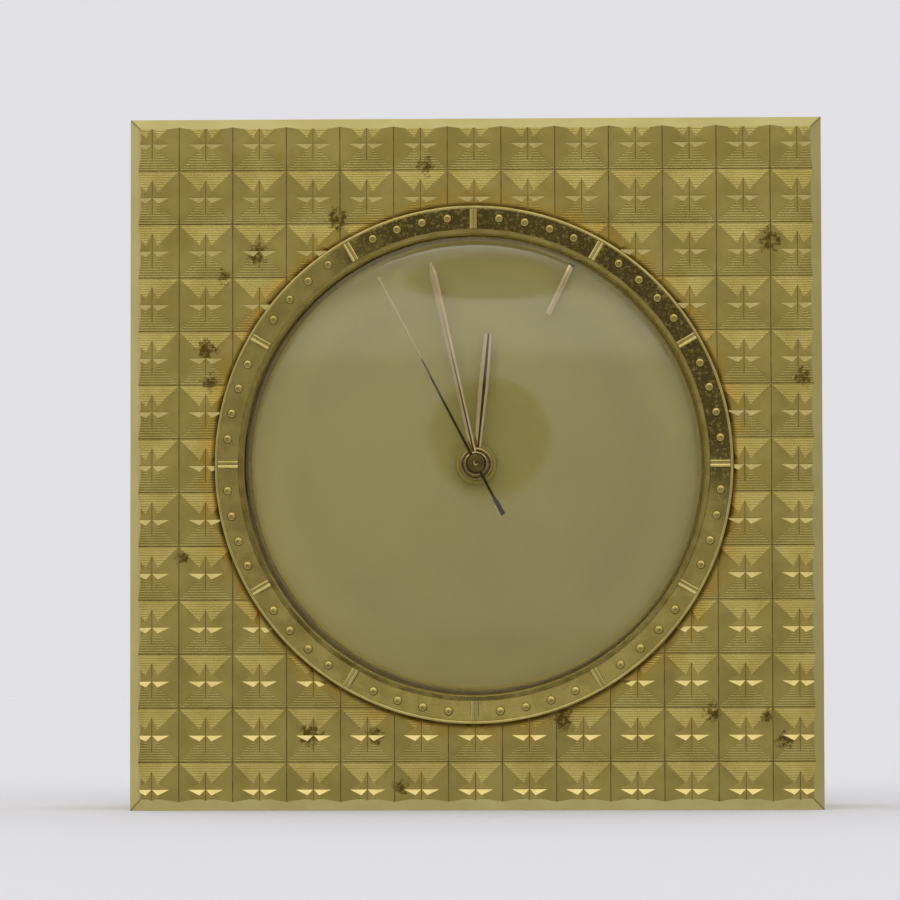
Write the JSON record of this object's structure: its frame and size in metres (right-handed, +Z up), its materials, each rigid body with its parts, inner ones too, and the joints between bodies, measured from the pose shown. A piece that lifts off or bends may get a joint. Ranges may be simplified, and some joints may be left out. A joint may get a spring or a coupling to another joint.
{
  "type": "pendulette clock",
  "caption": "Square gilt table clock with a pyramid-embossed front, round beaded chapter ring, domed glass, plain dial, hands, alarm pointer and a geared movement inside.",
  "frame": {"origin": "middle of the side band's flat bottom face, which the clock stands on", "axes": "+Z up, +X to the right as seen from the front, the dial faces -Y"},
  "size_m": [0.103, 0.0459, 0.103],
  "materials": {
    "gilt_front": "aged gilt, finely line-engraved, tarnished near the ring",
    "gilt_case": "satin gilt",
    "gilt_ring": "satin gilt with light wear",
    "gilt_hands": "polished gilt facets",
    "dial_champagne": "satin champagne lacquer",
    "spacer_dark": "dark moulded",
    "clear_glass": "clear polished dome",
    "clear_plastic": "clear polished sheet",
    "turned_brass": "turned",
    "plate_brass": "brushed",
    "wheel_brass": "cut and brushed",
    "wheel_plastic": "moulded ivory",
    "arbor_steel": "turned and polished",
    "screw_steel": "turned",
    "magnet_dark": "sintered",
    "stator_iron": "stamped",
    "coil_copper": "enamelled copper wire",
    "board_green": "solder mask",
    "can_metal": "drawn can",
    "chip_black": "moulded",
    "sounder_black": "moulded",
    "contact_metal": "plated strip",
    "tray_plastic": "moulded",
    "battery_jacket": "printed jacket without print",
    "black_plastic": "fine moulded texture"
  },
  "bodies": {
    "case": {"embossed_panel": "gilt_front", "front_plate": "gilt_front", "case_band": "gilt_case", "back_cover": "gilt_case", "chapter_ring": "gilt_ring", "hour_bars": "gilt_ring", "minute_beads": "gilt_ring", "dial": "dial_champagne", "dial_spacer": "spacer_dark", "glass": "clear_glass", "corner_pillars": "turned_brass", "movement_posts": "turned_brass", "dial_pillars": "turned_brass", "plate_pillars": "turned_brass", "centre_bush": "turned_brass", "front_mainplate": "plate_brass", "rear_mainplate": "plate_brass", "minute_stud": "arbor_steel", "movement_nuts": "screw_steel", "cover_screws": "screw_steel", "motor_stator": "stator_iron", "coil_core": "stator_iron", "motor_coil": "coil_copper", "circuit_board": "board_green", "quartz_crystal": "can_metal", "chip": "chip_black", "sounder": "sounder_black", "switch_leaf": "contact_metal", "battery_contact": "contact_metal", "battery_spring": "contact_metal", "battery_tray": "tray_plastic", "battery": "battery_jacket"},
    "seconds": {"seconds_hand": "gilt_hands", "seconds_wheel": "wheel_brass"},
    "third": {"third_wheel": "wheel_brass"},
    "centre": {"centre_wheel": "wheel_brass"},
    "middle": {"middle_wheel": "wheel_plastic"},
    "rotor": {"rotor_arbor": "arbor_steel", "rotor_magnet": "magnet_dark"},
    "minutes": {"minute_hand": "gilt_hands", "cannon_pinion": "wheel_brass"},
    "motion": {"minute_wheel": "wheel_brass"},
    "hours": {"hour_hand": "gilt_hands", "hour_wheel": "wheel_brass"},
    "alarm_pointer": {"alarm_disc": "clear_plastic", "alarm_baton": "gilt_hands", "alarm_wheel": "wheel_brass"},
    "time_setting": {"setting_stem": "arbor_steel", "setting_knob": "black_plastic"},
    "alarm_setting": {"alarm_stem": "arbor_steel", "alarm_knob": "black_plastic"},
    "switch": {"alarm_switch": "black_plastic"},
    "door": {"battery_door": "black_plastic"}
  },
  "joints": [
    {"name": "seconds_turn", "type": "hinge", "parent": "case", "child": "seconds", "pos_m": [0, 0, 0.0515], "axis": [0, 1, 0], "continuous": true},
    {"name": "third_turn", "type": "hinge", "parent": "case", "child": "third", "pos_m": [0.00868, 0, 0.06184], "axis": [0, 1, 0], "continuous": true},
    {"name": "centre_turn", "type": "hinge", "parent": "case", "child": "centre", "pos_m": [0, 0, 0.0515], "axis": [0, 1, 0], "continuous": true},
    {"name": "middle_turn", "type": "hinge", "parent": "case", "child": "middle", "pos_m": [-0.01182, 0, 0.05833], "axis": [0, 1, 0], "continuous": true},
    {"name": "rotor_turn", "type": "hinge", "parent": "case", "child": "rotor", "pos_m": [-0.01884, 0, 0.06237], "axis": [0, 1, 0], "continuous": true},
    {"name": "minutes_turn", "type": "hinge", "parent": "case", "child": "minutes", "pos_m": [0, 0, 0.0515], "axis": [0, 1, 0], "continuous": true},
    {"name": "motion_turn", "type": "hinge", "parent": "case", "child": "motion", "pos_m": [0.00512, 0, 0.04338], "axis": [0, 1, 0], "continuous": true},
    {"name": "hours_turn", "type": "hinge", "parent": "case", "child": "hours", "pos_m": [0, 0, 0.0515], "axis": [0, 1, 0], "continuous": true},
    {"name": "time_setting_turn", "type": "hinge", "parent": "case", "child": "time_setting", "pos_m": [0.01353, 0, 0.04657], "axis": [0, 1, 0], "continuous": true},
    {"name": "alarm_pointer_turn", "type": "hinge", "parent": "case", "child": "alarm_pointer", "pos_m": [0, 0, 0.0515], "axis": [0, 1, 0], "continuous": true},
    {"name": "alarm_setting_turn", "type": "hinge", "parent": "case", "child": "alarm_setting", "pos_m": [-0.01353, 0, 0.04657], "axis": [0, 1, 0], "continuous": true},
    {"name": "switch_slide", "type": "slide", "parent": "case", "child": "switch", "axis": [1, 0, 0], "range_m": [0, 0.005]},
    {"name": "door_lift", "type": "slide", "parent": "case", "child": "door", "axis": [0, 1, 0], "range_m": [0, 0.03]}
  ],
  "couplings": [
    {"joint": "third_turn", "follows": "seconds_turn", "ratio": -0.13333},
    {"joint": "centre_turn", "follows": "seconds_turn", "ratio": 0.016667},
    {"joint": "middle_turn", "follows": "seconds_turn", "ratio": -6},
    {"joint": "rotor_turn", "follows": "seconds_turn", "ratio": 30},
    {"joint": "motion_turn", "follows": "minutes_turn", "ratio": -0.33333},
    {"joint": "hours_turn", "follows": "minutes_turn", "ratio": 0.083333},
    {"joint": "time_setting_turn", "follows": "minutes_turn", "ratio": 1.3333},
    {"joint": "alarm_setting_turn", "follows": "alarm_pointer_turn", "ratio": -5}
  ]
}
